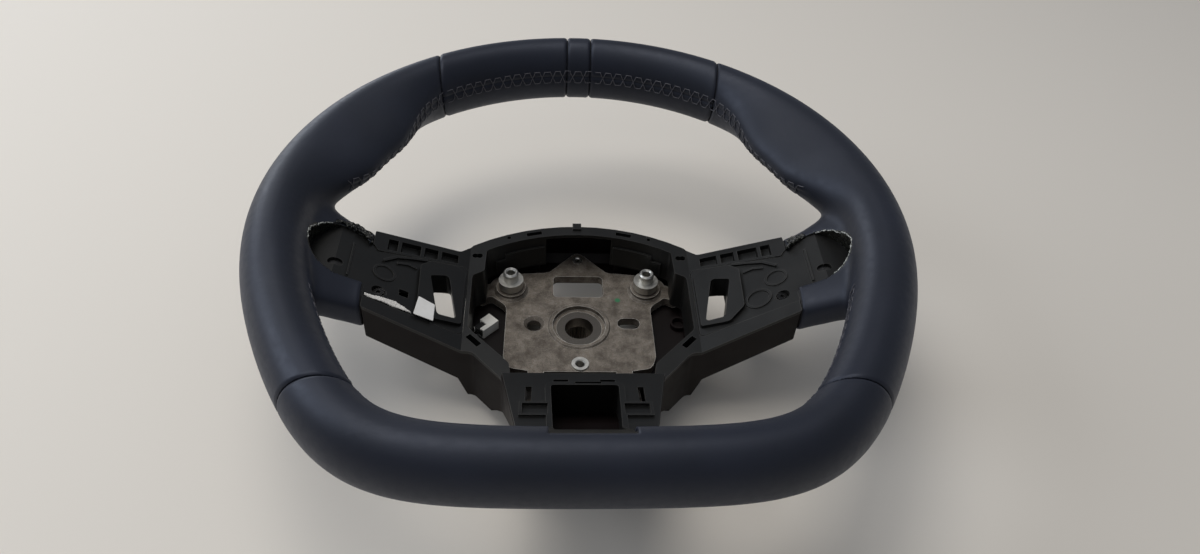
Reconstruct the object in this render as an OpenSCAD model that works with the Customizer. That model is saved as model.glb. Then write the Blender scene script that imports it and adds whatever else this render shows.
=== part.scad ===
// Bare leather steering wheel with a flat bottom, without airbag, switches and paddles.
// Z runs along the steering axis towards the driver, Y points to 12 o'clock, X to the driver's right.
// The origin is in the middle of the column bore's plain stretch.

/* [Rim] */
// Radius of the rim's centreline at 3 and 9 o'clock
rim_r = 168; // [162:1:176]
// Extra radius at 12 o'clock
rim_top_rise = 3; // [0:0.5:6]
// Distance from the rim's centre to the centreline of the flat bottom
rim_flat = 164; // [160:1:168]
// Swell of the lower quarters past the circle
rim_low_bulge = 44; // [30:1:50]
// Offset of the rim's centre above the steering axis
rim_dy = 7; // [4:0.5:9]
// Height of the rim's middle plane above the origin
rim_z = 82; // [79:0.5:86]
// Half width of the section at 3 and 9 o'clock
side_half_w = 17.2; // [16:0.1:19]
// Half width of the section at 12 o'clock
top_half_w = 14.6; // [13:0.1:16]
// Half width of the section at 6 o'clock
bottom_half_w = 16.5; // [15:0.1:18]
// Half depth of the section at the top and sides
half_depth = 22; // [20:0.2:23]
// Half depth of the section at 6 o'clock
bottom_half_depth = 19.8; // [18:0.2:22]
// How far the thumb rests stand inwards
thumb_rest = 19.5; // [14:0.5:21]
// Angle above the horizontal where the thumb rests run out
thumb_end = 57; // [50:1:62]
// Thickness of the leather
leather_t = 1.2; // [1:0.1:1.6]
// Radius of the cast core ring
core_r = 6.5; // [5:0.5:8]

/* [Seams] */
// Angle of the upper side seams above the horizontal
upper_seam = 57; // [50:1:62]
// Angle of the lower side seams below the horizontal
lower_seam = 46; // [42:1:52]
// Width of the band at 12 o'clock
band_w = 16; // [12:1:20]
// Gap that a seam leaves between two panels
seam_gap = 0.5; // [0.3:0.1:0.8]

/* [Hub] */
// Height of the hub plate's front face
plate_front = 6; // [5:0.5:7]
// Thickness of the hub plate
plate_t = 6; // [5:0.5:7]
// Diameter of the column bore
bore_d = 17.7; // [16:0.1:19]
// Length of the bore's plain stretch
bore_plain = 8; // [6:0.5:9]
// Length of the whole bush
bush_l = 20; // [18:0.5:22]
// Diameter of the round seat for the column bolt's head
bolt_seat_d = 33; // [30:0.5:36]
// Half distance between the airbag posts
post_x = 43; // [42:0.5:44]
// Height of the airbag posts above the steering axis
post_y = 31; // [30:0.5:32]
// Diameter of a post's collar
collar_d = 15.6; // [14:0.2:16]
// Diameter of a post's head
head_d = 9.4; // [9:0.2:10]
// Thread core diameter of the posts and the lower insert
thread_d = 5; // [4.4:0.1:5.4]

/* [Bay] */
// Height of the bay's front edge
bay_z = 34; // [32:0.5:36]
// Width of the ledge round the bay
ledge_w = 8; // [7:0.5:9]
// Wall of the black mouldings
wall = 2.2; // [1.8:0.1:2.5]
// Radius of the opening for the column in the rear cover
column_open_r = 45; // [42:1:47]
// Height of the collar round that opening
collar_h = 14; // [12:1:18]

/* [Spokes] */
// Half width of the hub where the side spokes start
hub_half_w = 68; // [66:1:70]
// Rise of the side spokes for each millimetre outwards
spoke_rise = 0.57; // [0.54:0.01:0.6]
// Length of the leather spoke root, measured in from the rim's centreline
root_l = 47; // [44:1:50]
// Length of a spoke window
window_l = 32; // [29:1:34]
// Width of a spoke window
window_w = 11.5; // [10:0.5:13]

/* [Hidden] */
$fn = 48;
// Running clearance between curved or sloped neighbours
fit = 0.3;
// Exponent that joins the swollen quarters and the flat bottom
flat_blend = 12;
// Points round the rim's section and degrees between its rings
section_n = 20;
ring_step = 6;
// Gap between the foam's skin and the leather
skin_gap = 0.45;

root_x = rim_r - root_l;
cover_end = root_x - 0.6;
arch_y = -60;
arch_r = 122;
corner_x = 73.5;
corner_y = arch_y + sqrt(arch_r * arch_r - corner_x * corner_x) - 4.5;

function unit(v) = v / norm(v);
function clamp01(t) = max(0, min(1, t));
function smooth(t) = let (c = clamp01(t)) c * c * (3 - 2 * c);
function lerp(a, b, t) = a + (b - a) * t;

// Rounds the corners of an outline of [x, y, radius]
function arc_corner(a, b, c, r) =
    let (u = unit(a - b), v = unit(c - b), half = acos(u * v) / 2, centre = b + unit(u + v) * r / sin(half),
         s = b + u * r / tan(half) - centre, e = b + v * r / tan(half) - centre,
         a0 = atan2(s[1], s[0]), turn = atan2(e[1], e[0]) - a0,
         sweep = turn > 180 ? turn - 360 : turn < -180 ? turn + 360 : turn)
    [for (i = [0:5]) centre + r * [cos(a0 + sweep * i / 5), sin(a0 + sweep * i / 5)]];
function rounded(pts) = [
    for (i = [0:len(pts) - 1])
        let (n = len(pts), p = pts[i], a = pts[(i + n - 1) % n], c = pts[(i + 1) % n])
        each p[2] > 0
            ? arc_corner([a[0], a[1]], [p[0], p[1]], [c[0], c[1]], p[2])
            : [[p[0], p[1]]]
];
function flip_r(pts) = [for (i = [len(pts) - 1:-1:0]) [-pts[i][0], pts[i][1], pts[i][2]]];

// The rim's centreline, a circle above and a flat bottom with swollen quarters below
function rim_radius(a) =
    let (s = sin(a))
    s >= 0
        ? rim_r + rim_top_rise * s * s
        : pow(pow(rim_r + rim_low_bulge * pow(s, 4), -flat_blend) + pow(rim_flat / abs(s), -flat_blend),
              -1 / flat_blend);
function rim_centre(a) = rim_radius(a) * [cos(a), sin(a)] + [0, rim_dy];
function rim_normal(a) = let (t = unit(rim_centre(a + 0.5) - rim_centre(a - 0.5))) [t[1], -t[0]];
// Angle above the horizontal, the same on the left and the right
function rise_angle(a) = let (b = (a + 360) % 360) b <= 90 ? b : b <= 270 ? 180 - b : b - 360;
function half_w(a) =
    let (s = sin(a), end = s > 0 ? top_half_w : bottom_half_w) lerp(side_half_w, end, s * s);
function half_d(a) = let (s = sin(a)) s > 0 ? half_depth : lerp(half_depth, bottom_half_depth, s * s);
function thumb(a) =
    let (e = rise_angle(a)) thumb_rest * smooth((thumb_end - e) / 25) * smooth((e - 1) / 23);
// A point of the section, where lean turns the section's plane so that seams may run askew
function reach(a, phi) = half_w(a) + (cos(phi) < 0 ? thumb(a) * pow(cos(phi), 2) : 0);
function section_point(a, phi, inset, lean) =
    let (b = a + lean * reach(a, phi) * cos(phi), u = (reach(b, phi) - inset) * cos(phi),
         c = rim_centre(b) + u * rim_normal(b))
    [c[0], c[1], rim_z + (half_d(b) - inset) * sin(phi)];
function section_ring(a, inset, lean) = [
    for (i = [0:section_n - 1]) section_point(a, 360 * (i + 0.5) / section_n, inset, lean)
];
// Angle and lean of each ring of a panel
function panel(a0, a1, lean0, lean1) =
    let (steps = max(1, ceil((a1 - a0) / ring_step)))
    [for (k = [0:steps]) [lerp(a0, a1, k / steps), lerp(lean0, lean1, k / steps)]];
function mirrored(rings) = [for (i = [len(rings) - 1:-1:0]) [180 - rings[i][0], -rings[i][1]]];
// Faces between rings, cut along mirrored diagonals on the left so that both halves agree
function loft_faces(rings, closed) =
    let (rows = len(rings), n = len(rings[0]))
    concat(
        [for (k = [0:(closed ? rows - 1 : rows - 2)], i = [0:n - 1])
            let (j = (i + 1) % n, m = (k + 1) % rows, a = k * n + i, b = k * n + j, c = m * n + j, d = m * n + i)
            each rings[k][0][0] > 1 ? [[a, b, c], [a, c, d]] : [[b, c, d], [b, d, a]]],
        closed ? [] : [[for (i = [n - 1:-1:0]) i], [for (i = [0:n - 1]) (rows - 1) * n + i]]
    );

module loft(rings, closed = false) {
    polyhedron([for (r = rings) each r], loft_faces(rings, closed), convexity = 8);
}

// Lean of the seams in degrees for each millimetre out from the centreline
upper_lean = 0.18;
lower_lean = 0.137;
half_gap = seam_gap / 2 * 180 / (PI * rim_r);
band_angle = asin(band_w / 2 / rim_r);
side_rings = panel(half_gap - lower_seam, upper_seam - half_gap, lower_lean, upper_lean);
top_rings = panel(upper_seam + half_gap, 90 - band_angle - half_gap, upper_lean, 0);
band_rings = panel(90 - band_angle + half_gap, 90 + band_angle - half_gap, 0, 0);
bottom_rings = panel(180 + lower_seam + half_gap, 360 - lower_seam - half_gap, -lower_lean, lower_lean);
all_rings = concat(side_rings, top_rings, band_rings, mirrored(top_rings), mirrored(side_rings), bottom_rings);

// A length of the padded rim, or all of it
module rim_length(rings, inset, closed = false) {
    loft([for (q = rings) section_ring(q[0], inset, q[1])], closed);
}

// The spoke root that the leather is drawn over, from the spoke's end out into the rim
function root_ring(t, inset) = let (
    x = root_x + t * (root_l - 8),
    y_hi = spoke_top + 1 + 21 * pow(t, 1.8) - inset,
    y_lo = spoke_low - 1 - 9 * pow(t, 2) + inset,
    z_hi = spoke_front(root_x) + 3 + 23 * pow(t, 1.2) - inset,
    z_lo = spoke_back(root_x) + 1 + 18 * t + inset,
    n = 24
) [
    for (i = [0:n - 1])
        let (f = -360 * (i + 0.5) / n, c = cos(f), s = sin(f), q = 0.55)
        [x, (y_hi + y_lo) / 2 + sign(c) * pow(abs(c), q) * (y_hi - y_lo) / 2,
         (z_hi + z_lo) / 2 + sign(s) * pow(abs(s), q) * (z_hi - z_lo) / 2]
];

module right_root(inset, start = 0) {
    loft(concat(
        start > 0 ? [[for (p = root_ring(0, inset)) p - [start, 0, 0]]] : [],
        [for (k = [0:6]) root_ring(k / 6, inset)]
    ));
}

// Front and back height of the side spokes' mouldings at a distance from the middle
function spoke_front(x) = bay_z + spoke_rise * max(0, abs(x) - hub_half_w);
spoke_back_0 = [66, plate_front - plate_t - 4];
spoke_back_1 = [71, plate_front + 4];
function spoke_back(x) = spoke_back_1[1] + (spoke_rise + 0.05) * (abs(x) - spoke_back_1[0]);
// Front and back height of the lower spoke's mouldings
lower_start = -62;
split_y = -66.5;
function lower_front(y) = bay_z + 4 + 0.36 * max(0, lower_start - y);
lower_back = [[-56, plate_front - plate_t - 4], [-70, 8], [-96, 32], [-150, rim_z - 22]];

// Plan of the rear cover, from the middle of the arch clockwise
arch_pts = [for (a = [90:-5.5:57]) [arch_r * cos(a), arch_y + arch_r * sin(a), 0]];
spoke_top = 20.5;
spoke_low = -41;
lower_end = rim_dy - rim_flat + 10;
cover_right = concat(arch_pts, [
    [corner_x, corner_y, 4], [cover_end, spoke_top, 1], [cover_end, spoke_low, 1], [62, -46.5, 6],
    [44.5, -66, 8], [35, -118, 8], [35, lower_end, 2]
]);
module plan_of(half) polygon(rounded(concat(half, flip_r([for (i = [1:len(half) - 1]) half[i]]))));
module cover_plan() plan_of(cover_right);

// Plan of the opening that takes the airbag
bay_right = concat(
    [for (a = [90:-4.5:63]) [(arch_r - ledge_w) * cos(a), arch_y + (arch_r - ledge_w) * sin(a), 0]],
    [[58, 38, 3], [58.5, 19.5, 3], [65.5, 15.5, 3], [65.5, -28, 5], [41, -54.5, 4], [39.5, split_y, 2]]
);
module bay_plan() plan_of(bay_right);

module side_slab(front, back, y0 = -75, y1 = 80) {
    x = cover_end + 30;
    half = [
        [0, spoke_back_0[1] + back], [spoke_back_0[0], spoke_back_0[1] + back],
        [spoke_back_1[0], spoke_back_1[1] + back], [x, spoke_back(x) + back],
        [x, spoke_front(x) + front], [hub_half_w, bay_z + front], [0, bay_z + front]
    ];
    translate([0, y1, 0])
        rotate([90, 0, 0])
            linear_extrude(y1 - y0)
                polygon(concat(half, [for (i = [len(half) - 2:-1:1]) [-half[i][0], half[i][1]]]));
}

module lower_slab(front, back, half = 60) {
    pts = concat(
        [[-30, lower_back[0][1] + back]], [for (p = lower_back) [p[0], p[1] + back]],
        [[lower_back[3][0], lower_front(lower_back[3][0]) + front], [split_y, lower_front(split_y) + front],
         [split_y, bay_z + front], [-30, bay_z + front]]
    );
    translate([-half, 0, 0])
        rotate([90, 0, 90])
            linear_extrude(2 * half)
                polygon(pts);
}

recess_x = rim_r - 33.5;
recess_y = -5.5;
recess_r = 20.5;
step_x = rim_r - 31;
tray_end_z = spoke_front(step_x) - 1;

// Places of the small screws, drawn for the right side, and the heights that their bosses meet at
screw_d = 3;
screw_hole = screw_d + 0.2;
screw_head_d = 6;
screw_head_h = 2.2;
tray_screw = [113.5, -24.5];
tray_screw_z = spoke_front(tray_screw[0] - 5) - 1;
cover_screw = [98, 9];
cover_screw_z = 33.4;

// The cast arm from a post boss out to the core ring, drawn for the right side
arm_plan = [
    [40, 24, 0], [57, 25, 3], [76, 12, 8], [121, -9, 8], [rim_r, -16, 0], [rim_r, 8, 0], [121, 10, 8],
    [76, 27, 8], [57, 37, 4], [40, 38, 0]
];
function arm_top(x) = spoke_front(x) - 10;
module side_arm(grow) {
    top = [[40, plate_front], [62, plate_front], [71, arm_top(71)], [137, arm_top(137)],
           [recess_x + recess_r + 1, tray_end_z - wall - 3], [rim_r - core_r, rim_z - 4],
           [rim_r, rim_z + core_r - 1]];
    low = [[rim_r, rim_z - core_r + 1], [152, 62], [root_x, 48], [76, arm_top(76) - 8],
           [61, plate_front - plate_t], [40, plate_front - plate_t]];
    intersection() {
        translate([0, 60, 0])
            rotate([90, 0, 0])
                linear_extrude(120)
                    offset(delta = grow)
                        polygon(concat(top, low));
        translate([0, 0, -20])
            linear_extrude(140)
                offset(delta = grow)
                    polygon(rounded(arm_plan));
    }
}

// The cast leg from the plate's lower corner to the core ring, drawn for the right side
leg_x = 26.3;
leg_w = 9.5;
module lower_leg(grow) {
    ring_y = rim_dy - rim_flat;
    top = [[-24, plate_front], [-38, plate_front], [-70, 29], [-100, 45.5], [-126, 57.5], [-143, 66],
           [ring_y + 5, rim_z - 6], [ring_y, rim_z + core_r - 1]];
    low = [[ring_y, rim_z - core_r + 1], [-146, 64], [-126, 52.5], [-100, 38.5], [-73, 22],
           [-44, plate_front - plate_t], [-24, plate_front - plate_t]];
    translate([leg_x - leg_w / 2 - grow, 0, 0])
        rotate([90, 0, 90])
            linear_extrude(leg_w + 2 * grow)
                offset(delta = grow)
                    polygon(concat(top, low));
}

module both() {
    children();
    mirror([1, 0, 0]) children();
}

module core_ring(grow) {
    rings = 48;
    n = 10;
    loft([for (k = [0:rings - 1])
        let (a = 360 * k / rings, c = rim_centre(a), u = rim_normal(a))
        [for (i = [0:n - 1])
            let (f = 360 * (i + 0.5) / n, r = core_r + grow)
            [c[0] + r * cos(f) * u[0], c[1] + r * cos(f) * u[1], rim_z + r * sin(f)]]], closed = true);
}

plate_right = [
    [0, 69, 5], [19, 48, 7], [36, 46.5, 6], [post_x + 13, 43, 9], [post_x + 14, 27, 8], [45.5, 17, 8],
    [46, -25, 3], [43, -34, 6], [28, -37, 6]
];
hole_left = [-28, 2];
slot_right = [31, 2.5];
hole_d = 9;
slot_l = 14;
insert_upper = [0, 60];
insert_lower = [0, -31.5];
upper_d = 6.4;
lower_d = 10.3;
post_seat = plate_front + 3.5;
boss_r = 9.4;
collar_top = post_seat + 6.5;
head_top = collar_top + 6.5;
bush_top = bore_plain / 2;
bush_r = 14;
housing_r = 19;
press = 0.1;

module plate_plan() {
    difference() {
        polygon(rounded(concat(plate_right, flip_r([for (i = [1:len(plate_right) - 1]) plate_right[i]]))));
        polygon(rounded([[-16, 25.5, 3], [-16, 44.5, 3], [16, 44.5, 3], [16, 25.5, 3]]));
    }
}

module armature() {
    color("darkgray")
        difference() {
            union() {
                translate([0, 0, plate_front - plate_t]) linear_extrude(plate_t) plate_plan();
                translate([0, 0, bush_top - bush_l + 2]) cylinder(h = bush_l - 4, r = housing_r);
                translate([0, 0, plate_front - 1])
                    cylinder(h = 2, r1 = bolt_seat_d / 2 + 4, r2 = bolt_seat_d / 2 + 2);
                both() translate([post_x, post_y, plate_front - 1]) {
                    cylinder(h = post_seat - plate_front + 1, r = boss_r);
                    cylinder(h = 2.4, r1 = boss_r + 2.6, r2 = boss_r);
                }
                both() side_arm(0);
                both() lower_leg(0);
                core_ring(0);
            }
            translate([0, 0, bush_top]) cylinder(h = 10, d = bolt_seat_d);
            translate([0, 0, -30]) cylinder(h = 40, r = bush_r + press);
            both() translate([post_x, post_y, -5]) cylinder(h = 30, d = 7 + 2 * press);
            both() translate([cover_screw[0], cover_screw[1], 10]) {
                cylinder(h = cover_screw_z - 10, r = 6.5);
                cylinder(h = 29, d = screw_hole);
            }
            translate([hole_left[0], hole_left[1], -5]) cylinder(h = 20, d = hole_d);
            translate([hole_left[0], hole_left[1], plate_front - 2])
                cylinder(h = 3, r1 = hole_d / 2, r2 = hole_d / 2 + 3);
            translate([slot_right[0], slot_right[1], -5]) {
                for (s = [-1, 1]) translate([s * (slot_l - hole_d) / 2, 0, 0]) cylinder(h = 20, d = hole_d);
                translate([-(slot_l - hole_d) / 2, -hole_d / 2, 0]) cube([slot_l - hole_d, hole_d, 20]);
            }
            translate([insert_upper[0], insert_upper[1], -5]) cylinder(h = 20, d = upper_d + 2 * press);
            translate([insert_lower[0], insert_lower[1], -5]) cylinder(h = 20, d = lower_d + 2 * press);
        }
}

module spline_plan(teeth, r0, r1) {
    polygon([
        for (i = [0:2 * teeth - 1])
            let (r = i % 2 == 0 ? r0 : r1, f = 180 * i / teeth)
            [r * cos(f), r * sin(f)]
    ]);
}

module column_bush() {
    color("silver")
        difference() {
            translate([0, 0, bush_top - bush_l]) cylinder(h = bush_l, r = bush_r);
            translate([0, 0, -bore_plain / 2 - 0.01]) cylinder(h = bore_plain + 1, d = bore_d);
            translate([0, 0, bush_top - bush_l - 1])
                linear_extrude(bush_l - bore_plain + 1)
                    spline_plan(36, bore_d / 2 - 0.3, bore_d / 2 + 0.5);
        }
}

module post() {
    color("lightgray")
        difference() {
            union() {
                translate([0, 0, plate_front - plate_t]) cylinder(h = post_seat - plate_front + plate_t + 1, d = 7);
                translate([0, 0, post_seat]) cylinder(h = 1.2, r1 = collar_d / 2 - 1.2, d2 = collar_d);
                translate([0, 0, post_seat + 1.2]) cylinder(h = collar_top - post_seat - 1.2, d = collar_d);
                translate([0, 0, collar_top - 1]) cylinder(h = head_top - collar_top + 0.2, d = head_d);
                translate([0, 0, head_top - 0.8]) cylinder(h = 0.8, r1 = head_d / 2, r2 = head_d / 2 - 0.8);
            }
            translate([0, 0, head_top - 12]) cylinder(h = 13, d = thread_d);
            translate([0, 0, head_top - 0.8]) cylinder(h = 1, r1 = thread_d / 2, r2 = thread_d / 2 + 1);
        }
}
module post_right() translate([post_x, post_y, 0]) post();
module post_left() translate([-post_x, post_y, 0]) post();

module threaded_insert(d, hole, proud) {
    color("lightgray")
        translate([0, 0, plate_front - plate_t])
            difference() {
                cylinder(h = plate_t + proud, d = d);
                translate([0, 0, -1]) cylinder(h = plate_t + proud + 2, d = hole);
                translate([0, 0, plate_t + proud - 0.6]) cylinder(h = 1, r1 = hole / 2, r2 = hole / 2 + 1);
            }
}
module upper_insert() translate([insert_upper[0], insert_upper[1], 0]) threaded_insert(upper_d, 3.3, 0.6);
module lower_insert() translate([insert_lower[0], insert_lower[1], 0]) threaded_insert(lower_d, thread_d, 1.2);

// Round-ended recess in the spoke root that takes the tray's end
module tray_end_plan(r) {
    translate([recess_x, recess_y]) circle(r = r);
    translate([root_x - 4, recess_y - r]) square([recess_x - root_x + 4, 1.5 * r]);
}
module recess() {
    floor_0 = spoke_front(root_x - 4) - 1 - wall - fit;
    floor_1 = tray_end_z - wall - fit;
    intersection() {
        translate([0, 0, 40]) linear_extrude(80) tray_end_plan(recess_r);
        translate([0, 60, 0])
            rotate([90, 0, 0])
                linear_extrude(120)
                    polygon([
                        [root_x - 5, floor_0], [step_x, floor_1], [rim_r, floor_1], [rim_r, 120],
                        [root_x - 5, 120]
                    ]);
    }
}

// Mouth in the bottom of the rim where the lower spoke comes in
mouth_w = 72;
// Tongue of the lower frame that fills the upper, narrow part of the mouth
tongue_w = 19;
tongue_end = rim_dy - rim_flat + 8.1;
module mouth() {
    translate([-mouth_w / 2, tongue_end - 2, 40]) cube([mouth_w, 30, 28]);
    translate([-tongue_w - 0.5, tongue_end - 0.5, 60]) cube([2 * tongue_w + 1, 30, 44]);
    translate([-tongue_w - 0.5, tongue_end - 3.2, 91]) cube([2 * tongue_w + 1, 30, 13]);
}

foam_inset = leather_t + skin_gap;
module rim_foam() {
    color("dimgray")
        difference() {
            union() {
                rim_length(all_rings, foam_inset, closed = true);
                both() right_root(foam_inset);
            }
            core_ring(fit);
            both() side_arm(fit);
            both() lower_leg(fit);
            both() recess();
            mouth();
        }
}

// A closed shell of leather
module rim_shell(rings) {
    steps = len(rings) - 1;
    n = section_n;
    m = steps + 1;
    skins = [for (inset = [0, leather_t], q = rings) each section_ring(q[0], inset, q[1])];
    outer = [for (k = [0:steps - 1], i = [0:n - 1]) let (j = (i + 1) % n, p = k * n, q = p + n)
        each [[p + i, p + j, q + j], [p + i, q + j, q + i]]];
    inner = [for (k = [m:m + steps - 1], i = [0:n - 1]) let (j = (i + 1) % n, p = k * n, q = p + n)
        each [[p + i, q + j, p + j], [p + i, q + i, q + j]]];
    ends = [for (i = [0:n - 1]) let (j = (i + 1) % n, p = m * n, q = steps * n, r = (m + steps) * n)
        each [[i, p + j, j], [i, p + i, p + j], [q + i, q + j, r + j], [q + i, r + j, r + i]]];
    polyhedron(skins, concat(outer, inner, ends), convexity = 8);
}

module right_leather() {
    color("midnightblue")
        difference() {
            union() {
                rim_shell(side_rings);
                difference() {
                    right_root(0);
                    rim_length(side_rings, leather_t);
                }
            }
            right_root(leather_t, 3);
            recess();
        }
}
module leather_right() right_leather();
module leather_left() mirror([1, 0, 0]) right_leather();
module right_top() color("midnightblue") rim_shell(top_rings);
module leather_top_right() right_top();
module leather_top_left() mirror([1, 0, 0]) right_top();
module leather_top_band() color("midnightblue") rim_shell(band_rings);
module leather_bottom() color("midnightblue")
    difference() {
        rim_shell(bottom_rings);
        mouth();
        both() lower_leg(0.5);
    }

// Thin skins and hollow shells of the black mouldings
module cover_solid(front, back, inset) {
    intersection() {
        translate([0, 0, -30]) linear_extrude(140) offset(delta = -inset) cover_plan();
        union() {
            side_slab(front, back, y0 = -58);
            lower_slab(front, back);
        }
    }
}

// Post under each tray and boss under each cast arm
module cover_posts() {
    intersection() {
        union() {
            translate([tray_screw[0], tray_screw[1], 0]) cylinder(h = tray_screw_z - wall, d = 9);
            translate([cover_screw[0], cover_screw[1], 0]) cylinder(h = cover_screw_z, d = 12);
        }
        side_slab(30, 0);
    }
}

opening_top = 57;
opening_half_w = 23;
paddle_open = [[66, -16, 3], [90, -16, 3], [90, 20, 3], [66, 24, 3]];
// Bulge of the cover round the plate's tip
bulge_half_w = 27;
arch_recess = 21;
bulge_side = [[44, 2], [44, 29], [60.5, 29], [73, 17], [73, 2], [67, -4], [44, -4]];
module bulge(grow) {
    translate([-bulge_half_w - grow, 0, 0])
        rotate([90, 0, 90])
            linear_extrude(2 * (bulge_half_w + grow))
                offset(delta = grow)
                    polygon(bulge_side);
}
blind_boss = [63.2, 8];
module rear_cover() {
    floor_z = spoke_back_0[1];
    color("black")
        difference() {
            union() {
                difference() {
                    union() {
                        cover_solid(-wall, 0, 0);
                        bulge(0);
                    }
                    cover_solid(10, wall, wall);
                    bulge(-wall);
                }
                translate([0, 0, floor_z - collar_h]) cylinder(h = collar_h + 1, r = column_open_r + wall);
                both() cover_posts();
                translate([blind_boss[0], blind_boss[1], floor_z + 0.5]) cylinder(h = wall + 3, r = 5);
            }
            translate([blind_boss[0], blind_boss[1], floor_z + wall]) cylinder(h = 20, r = 4);
            both() translate([tray_screw[0], tray_screw[1], tray_screw_z - 12])
                cylinder(h = 20, d = screw_hole);
            both() translate([cover_screw[0], cover_screw[1], 0]) {
                cylinder(h = cover_screw_z - 3, d = screw_head_d + 0.8);
                cylinder(h = 60, d = screw_hole);
            }
            translate([0, 0, floor_z - collar_h - 1]) cylinder(h = collar_h + 5, r = column_open_r);
            translate([-opening_half_w, 0, floor_z - collar_h - 1])
                cube([2 * opening_half_w, opening_top, collar_h + 5]);
            both() linear_extrude(26) polygon(rounded(paddle_open));
            both() intersection() {
                linear_extrude(110) {
                    tray_opening();
                    tray_end_plan(recess_r);
                }
                tray_slab(-1 - wall - fit, 12);
            }
            both() intersection() {
                side_arm(0.5);
                translate([110, -50, 0]) cube(100);
            }
            both() intersection() {
                lower_leg(0.5);
                translate([0, -160, 0]) cube([60, 25, 100]);
            }
            both() translate([tray_screw[0], tray_screw[1], tray_screw_z - wall]) cylinder(h = 20, r = 6.3);
            translate([lead_route[0][0] - 3, lead_route[0][1], lead_route[0][2]])
                rotate([0, 90, 0])
                    cylinder(h = 6, d = lead_d + 2);
        }
}

module frame_ledges() {
    intersection() {
        linear_extrude(100) cover_plan();
        difference() {
            side_slab(0, 0);
            side_slab(-wall, -1);
        }
        difference() {
            translate([-200, split_y, 0]) cube([400, 140 - split_y, 120]);
            linear_extrude(100) bay_plan();
            both() linear_extrude(100) tray_opening();
        }
    }
}

// Upper and lower edge of the openings that take the trays
function tray_hi(x) = 20.5 - 0.325 * (x - 72);
function tray_lo(x) = -34.5 + 0.027 * (x - hub_half_w);
module tray_opening() polygon(rounded([
    [hub_half_w, tray_hi(hub_half_w), 3], [cover_end + 3, tray_hi(cover_end + 3), 0],
    [cover_end + 3, tray_lo(cover_end + 3), 0], [hub_half_w, tray_lo(hub_half_w), 3]
]));

// Pockets along the rail above each tray, [from, to] along the spoke
rail_pockets = [[74.5, 84], [86, 93.5], [95.5, 106], [107.8, 113]];
rail_floor = 3.6;
function rail_out(x) = lerp(corner_y, spoke_top, (x - corner_x) / (cover_end - corner_x));
module rail_strip(x0, x1, low, high) {
    polygon([
        [x0, tray_hi(x0) + low], [x1, tray_hi(x1) + low], [x1, rail_out(x1) - high],
        [x0, rail_out(x0) - high]
    ]);
}
module rail_blocks() {
    intersection() {
        linear_extrude(100) rail_strip(72.5, cover_end - 5.9, -0.15, wall + fit);
        difference() {
            side_slab(-0.5, 0);
            side_slab(-rail_floor - 1.6, -1);
        }
    }
}
module rail_cuts() {
    intersection() {
        linear_extrude(100) for (p = rail_pockets) rail_strip(p[0], p[1], 1.8, wall + 1.8);
        difference() {
            side_slab(9, 0);
            side_slab(-rail_floor, -1);
        }
    }
}

// Lower edge of the wall round the bay, 4 mm lower along the spokes and the arch
bay_wall_z = 10;
// Thin pads on the inside of the arch, and ribs in the recess in its middle
module arch_pads() {
    for (q = [[11.3, 24.4, 26], [23.9, 27.7, 22]])
        translate([0, arch_y, 12.5])
            rotate([0, 0, 90 - q[1]])
                rotate_extrude(angle = q[1] - q[0])
                    translate([arch_r - ledge_w - 1.3, 0]) square([2.5, q[2] - 12.5]);
}
module arch_ribs() {
    for (x = [-16, 16]) translate([x - 0.9, 57, 14]) cube([1.8, 6, bay_z - 14 - 1]);
}

module bay_frame() {
    color("black")
        difference() {
            union() {
                frame_ledges();
                both() rail_blocks();
                both() arch_pads();
                translate([-4, 58, bay_z - 1]) cube([5.5, 5.5, 2.5]);
                difference() {
                    union() {
                        translate([0, 0, bay_wall_z])
                            linear_extrude(bay_z - bay_wall_z - wall + 0.5)
                                offset(delta = wall) bay_plan();
                        translate([0, 0, bay_wall_z - 4]) linear_extrude(5) intersection() {
                            offset(delta = wall) bay_plan();
                            translate([-100, -45]) square([200, 75]);
                        }
                    }
                    linear_extrude(100) bay_plan();
                }
            }
            both() side_arm(0.6);
            both() lower_leg(0.6);
            both() linear_extrude(110) tray_end_plan(recess_r);
            both() rail_cuts();
            difference() {
                translate([-arch_recess, 40, 0]) cube([2 * arch_recess, 30, bay_z - wall]);
                arch_ribs();
            }
            translate([-70, -27, 0]) cube([8, 9, 20]);
            both() translate([0, arch_y, 20])
                rotate([0, 0, -14]) translate([-5, arch_r - ledge_w / 2 - 1.5, 0]) cube([10, 3, 40]);
            both() translate([0, arch_y, 20])
                rotate([0, 0, -22]) translate([0, arch_r - 3, 0]) cylinder(h = 40, r = 1.3);
            both() translate([61.5, -38, 20]) rotate([0, 0, 47]) cube([10, 3.5, 50], center = true);
            both() translate([63.5, 33, 20])
                for (x = [-1.3, 1.3]) translate([x, 0, 0]) cylinder(h = 50, r = 2);
        }
}

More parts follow.
